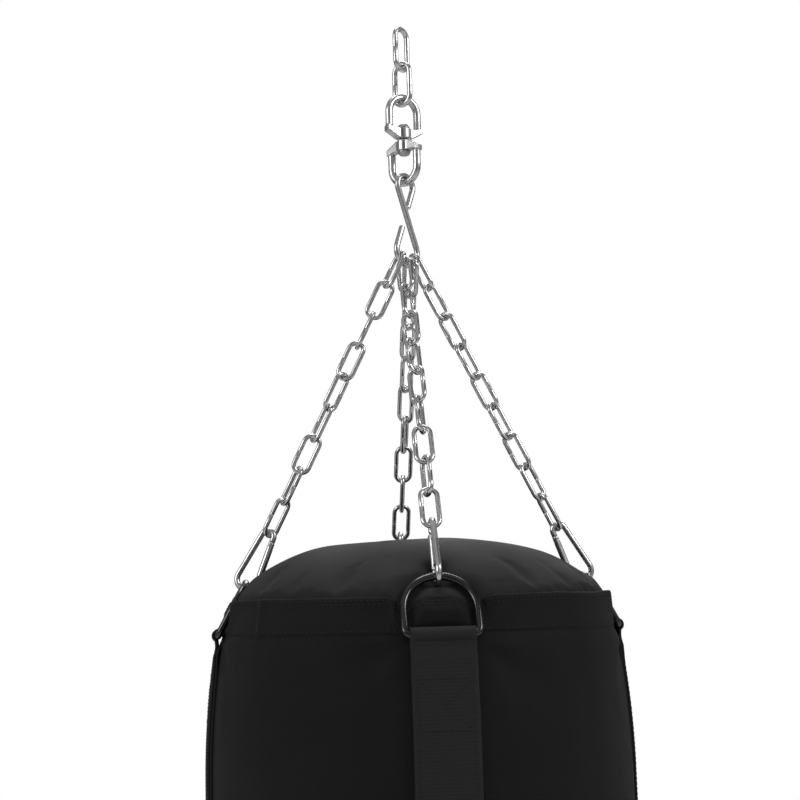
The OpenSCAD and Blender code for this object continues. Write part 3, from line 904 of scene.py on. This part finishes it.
class BAG_OT_straps(PieceOperator, bpy.types.Operator):
    """Loops the webbing round the ring bars and sews it down the bag"""

    bl_idname = "bag.straps"
    bl_label = "Straps"

    def make(self, scene):
        for corner in CORNERS:
            self.strap(scene, corner)

    def strap(self, scene, corner):
        web = scene.webbing_sizes
        ring = Ring(corner)
        gap = 0.3 * MM
        join = RIM_Z - web.join_drop
        end = join - web.run
        loop_r = ring.wire / 2 + gap + web.thick / 2
        bar_r, bar_z = ring.bar_r, ring.bar.z
        outer = [(edge_r(z) + gap + 1.5 * web.thick, z) for z in np.arange(end, join, 0.675 * MM)]
        first = outer[-1]
        over = arc_points((bar_r, bar_z), loop_r, -62, 180, 24)
        last = over[0]
        rise = [(first[0] + (last[0] - first[0]) * k - math.sin(math.pi * k) * 1.1 * MM,
                 first[1] + (last[1] - first[1]) * k) for k in even(0, 1, 12)[1:-1]]
        inner_top = (edge_r(join) + gap + web.thick / 2, join)
        start = over[-1]
        fall = [(start[0] + (inner_top[0] - start[0]) * float(smooth_step(k)), start[1] + (join - start[1]) * k)
                for k in even(0, 1, 10)[1:-1]]
        inner = [(edge_r(z) + gap + web.thick / 2, z) for z in even(join, end, 30)]
        route = outer + rise + over + fall + inner
        columns = 12
        bm = bmesh.new()
        bmesh.ops.create_grid(bm, x_segments=columns, y_segments=len(route) - 1, size=0.5)
        piece = new_piece("strap_%s_webbing" % corner, bm, "webbing", "webbing", "bag", "strap_" + corner)
        grid = places(piece.data)
        row = np.rint((grid[:, 1] + 0.5) * (len(route) - 1)).astype(int)
        across = grid[:, 0] * web.width
        path = np.array(route)
        r, z = path[row, 0], path[row, 1]
        ribbed = (row < len(outer) + 4)
        rib = np.where(ribbed, np.cos(z / web.rib_pitch * TURN) * web.rib, 0)
        selvedge = smooth_step((np.abs(across) - web.width / 2 + 2.2 * MM) / (2.2 * MM))
        r = r + rib * (1 - selvedge) - selvedge * 0.35 * MM
        drape = smooth_step((join + 8 * MM - z) / (30 * MM))
        bent = np.sqrt(np.maximum(r * r - across * across, 0))
        out = r + (bent - r) * drape
        waver = np.array([noise.noise(Vector((CORNERS[corner], 0, h * 11))) for h in z]) * 0.5 * MM
        place(piece.data, np.outer(out, np.array(ring.outward)) + np.outer(across + waver, np.array(ring.along))
              + np.outer(z, np.array((0, 0, 1))))
        layer = piece.data.uv_layers.new(name="cloth")
        for loop in piece.data.loops:
            layer.data[loop.index].uv = (across[loop.vertex_index], z[loop.vertex_index])
        wall = piece.modifiers.new("Ply", "SOLIDIFY")
        wall.thickness = web.thick
        wall.offset = 0
        self.sew_down(scene, corner, ring, gap)

    def sew_down(self, scene, corner, ring, gap):
        """Two boxes with crossed seams, and a row of stitches down each edge."""
        web, bag = scene.webbing_sizes, scene.bag_sizes
        half = web.width / 2 - 4 * MM

        def spot(a, z):
            r = edge_r(z) + gap + 2 * web.thick + 0.1 * MM
            out = math.sqrt(r * r - a * a)
            return ring.outward * out + ring.along * a + Vector((0, 0, z))

        def row(a0, z0, a1, z1):
            count = max(2, round(math.hypot(a1 - a0, z1 - z0) / bag.stitch_pitch))
            way = spot(a1, z1) - spot(a0, z0)
            return [(spot(a0 + (a1 - a0) * k / count, z0 + (z1 - z0) * k / count), way, ring.outward)
                    for k in range(count + 1)]

        high = RIM_Z - 62 * MM
        low = RIM_Z - web.join_drop - web.run + 6 * MM
        spots = row(-half, high, -half, low) + row(half, high, half, low)
        for top, bottom in ((high, high - 38 * MM), (low + 38 * MM, low)):
            spots += row(-half, top, half, top) + row(-half, bottom, half, bottom)
            spots += row(-half, top, half, bottom) + row(-half, bottom, half, top)
        bm = bmesh.new()
        sew(bm, spots, bag)
        new_piece("strap_%s_stitches" % corner, bm, "thread", "webbing", "bag")


class BAG_OT_bottom(PieceOperator, bpy.types.Operator):
    """Closes the bottom and pipes its edge"""

    bl_idname = "bag.bottom"
    bl_label = "Bottom"

    def make(self, scene):
        bag = scene.bag_sizes
        pipe_r = bag.piping / 2
        disc_r = BAG_R - 4 * MM
        skin = 2.5 * MM
        sag = [(disc_r * k, BAG_LOW_Z + 1.6 * MM * k ** 6) for k in even(0, 1, 40)]
        back = [(disc_r * k, BAG_LOW_Z + skin + 1 * MM) for k in even(1, 0, 12)]
        disc = new_piece("bottom", turned(sag + back, 240), "cover_cloth", "cover_fabric", "bag", "bottom_disc")
        unroll(disc.data, BAG_R)
        layer = disc.data.uv_layers["cloth"]
        points = places(disc.data)
        for loop in disc.data.loops:
            layer.data[loop.index].uv = points[loop.vertex_index][:2]
        ring = arc_points((BAG_R - 1.2 * MM, BAG_LOW_Z + pipe_r + 0.3 * MM), pipe_r, 0, 360, 16)[:-1]
        pipe = new_piece("piping", turned(ring, 360, closed=True), "cover_cloth", "cover_fabric", "bag",
                         "bottom_piping")
        unroll(pipe.data, BAG_R)


class BAG_OT_inner_parts(PieceOperator, bpy.types.Operator):
    """Gives the rivets, the springs, the foam and the filling their finishes"""

    bl_idname = "bag.inner_parts"
    bl_label = "Inner parts"

    def make(self, scene):
        finishes = {"gate_rivets": "dull_steel", "foam_liner": "foam", "filling": "filling"}
        finishes.update({"gate_spring_" + corner: "dull_steel" for corner in CORNERS})
        for node, finish in finishes.items():
            for slot in frame["nodes"][node].material_slots:
                slot.material = finish_of(finish)


class BAG_OT_stage(PieceOperator, bpy.types.Operator):
    """Sets the floor, the lights and the camera"""

    bl_idname = "bag.stage"
    bl_label = "Stage"

    def make(self, scene):
        stage = scene.stage_sizes
        self.floor(scene, stage)
        self.lights(scene)
        self.world(scene)
        turn, pitch = math.radians(stage.azimuth), math.radians(stage.pitch)
        camera = bpy.data.objects.new("camera", bpy.data.cameras.new("camera"))
        scene.collection.objects.link(camera)
        camera.data.lens = stage.lens
        camera.data.sensor_width = 36
        camera.data.dof.use_dof = False
        back = Vector((math.sin(turn), -math.cos(turn), 0))
        right = Vector((math.cos(turn), math.sin(turn), 0))
        camera.location = back * stage.distance + right * stage.side_shift + Vector((0, 0, RIM_Z))
        look = -back * math.cos(pitch) + Vector((0, 0, math.sin(pitch)))
        camera.rotation_mode = "QUATERNION"
        level = look.to_track_quat("-Z", "Y")
        camera.rotation_quaternion = level @ Matrix.Rotation(math.radians(stage.roll), 3, "Z").to_quaternion()
        scene.camera = camera
        scene.view_settings.view_transform = "Standard"

    def floor(self, scene, stage):
        bm = bmesh.new()
        bmesh.ops.create_circle(bm, segments=96, radius=5, cap_ends=True)
        bmesh.ops.translate(bm, verts=bm.verts, vec=(0, 0, BAG_LOW_Z - stage.floor_drop))
        mesh = bpy.data.meshes.new("floor")
        bm.to_mesh(mesh)
        bm.free()
        mesh.materials.append(finish_of("pale_floor"))
        floor = bpy.data.objects.new("floor", mesh)
        scene.collection.objects.link(floor)

    def lights(self, scene):
        aims = {"key": ((2.4, -1.6, 1.3), 1.2, 34), "fill": ((-2.6, -1.2, 0.6), 1.4, 22),
                "back": ((0.8, 2.8, 1.4), 1.6, 24), "top": ((0.0, 0.4, 2.4), 1.2, 26)}
        for name, (spot, size, power) in aims.items():
            lamp = bpy.data.lights.new(name, "AREA")
            lamp.shape = "SQUARE"
            lamp.size = size
            lamp.energy = power
            light = bpy.data.objects.new(name, lamp)
            scene.collection.objects.link(light)
            light.location = spot
            light.rotation_mode = "QUATERNION"
            light.rotation_quaternion = (Vector((0, 0, RIM_Z)) - light.location).to_track_quat("-Z", "Y")

    def world(self, scene):
        """A white surround for the camera, and a dimmer room for the light."""
        world = bpy.data.worlds.new("room")
        scene.world = world
        world.use_nodes = True
        nodes, links = world.node_tree.nodes, world.node_tree.links
        nodes.clear()
        seen = nodes.new("ShaderNodeBackground")
        seen.inputs["Color"].default_value = (1, 1, 1, 1)
        room = nodes.new("ShaderNodeBackground")
        room.inputs["Strength"].default_value = 1
        around = nodes.new("ShaderNodeTexCoord")
        walls = nodes.new("ShaderNodeTexNoise")
        walls.inputs["Scale"].default_value = 2.2
        walls.inputs["Detail"].default_value = 1
        shades = nodes.new("ShaderNodeMapRange")
        for name, level in (("From Min", 0.38), ("From Max", 0.62), ("To Min", 0.02), ("To Max", 0.5)):
            shades.inputs[name].default_value = level
        links.new(around.outputs["Generated"], walls.inputs["Vector"])
        links.new(walls.outputs["Fac"], shades.inputs["Value"])
        links.new(shades.outputs[0], room.inputs["Color"])
        path = nodes.new("ShaderNodeLightPath")
        mix = nodes.new("ShaderNodeMixShader")
        out = nodes.new("ShaderNodeOutputWorld")
        links.new(path.outputs["Is Camera Ray"], mix.inputs[0])
        links.new(room.outputs[0], mix.inputs[1])
        links.new(seen.outputs[0], mix.inputs[2])
        links.new(mix.outputs[0], out.inputs[0])


OPERATORS = (BAG_OT_stage, BAG_OT_links, BAG_OT_forgings, BAG_OT_rings, BAG_OT_top_pad, BAG_OT_hem, BAG_OT_cover,
             BAG_OT_straps, BAG_OT_bottom, BAG_OT_inner_parts)
GROUPS = {"bag_sizes": BagSizes, "webbing_sizes": WebbingSizes, "steel_sizes": SteelSizes, "finishes": Finishes,
          "stage_sizes": StageSizes}


class BAG_PT_panel(bpy.types.Panel):
    """Lists the bag's sizes, colours and pieces"""

    bl_idname = "BAG_PT_panel"
    bl_label = "Punching bag"
    bl_space_type = "VIEW_3D"
    bl_region_type = "UI"
    bl_category = "Punching bag"

    def draw(self, context):
        for key, group in GROUPS.items():
            box = self.layout.box()
            box.label(text=key.replace("_", " "))
            for name in group.__annotations__:
                box.prop(getattr(context.scene, key), name)
        for operator in OPERATORS:
            self.layout.operator(operator.bl_idname)


def register():
    for group in GROUPS.values():
        bpy.utils.register_class(group)
    for key, group in GROUPS.items():
        setattr(bpy.types.Scene, key, PointerProperty(type=group))
    for operator in OPERATORS:
        bpy.utils.register_class(operator)
    bpy.utils.register_class(BAG_PT_panel)


def unregister():
    bpy.utils.unregister_class(BAG_PT_panel)
    for operator in reversed(OPERATORS):
        bpy.utils.unregister_class(operator)
    for key in GROUPS:
        delattr(bpy.types.Scene, key)
    for group in reversed(GROUPS.values()):
        bpy.utils.unregister_class(group)


def main():
    register()
    for operator in OPERATORS:
        family, name = operator.bl_idname.split(".")
        getattr(getattr(bpy.ops, family), name)()


if __name__ == "__main__":
    main()
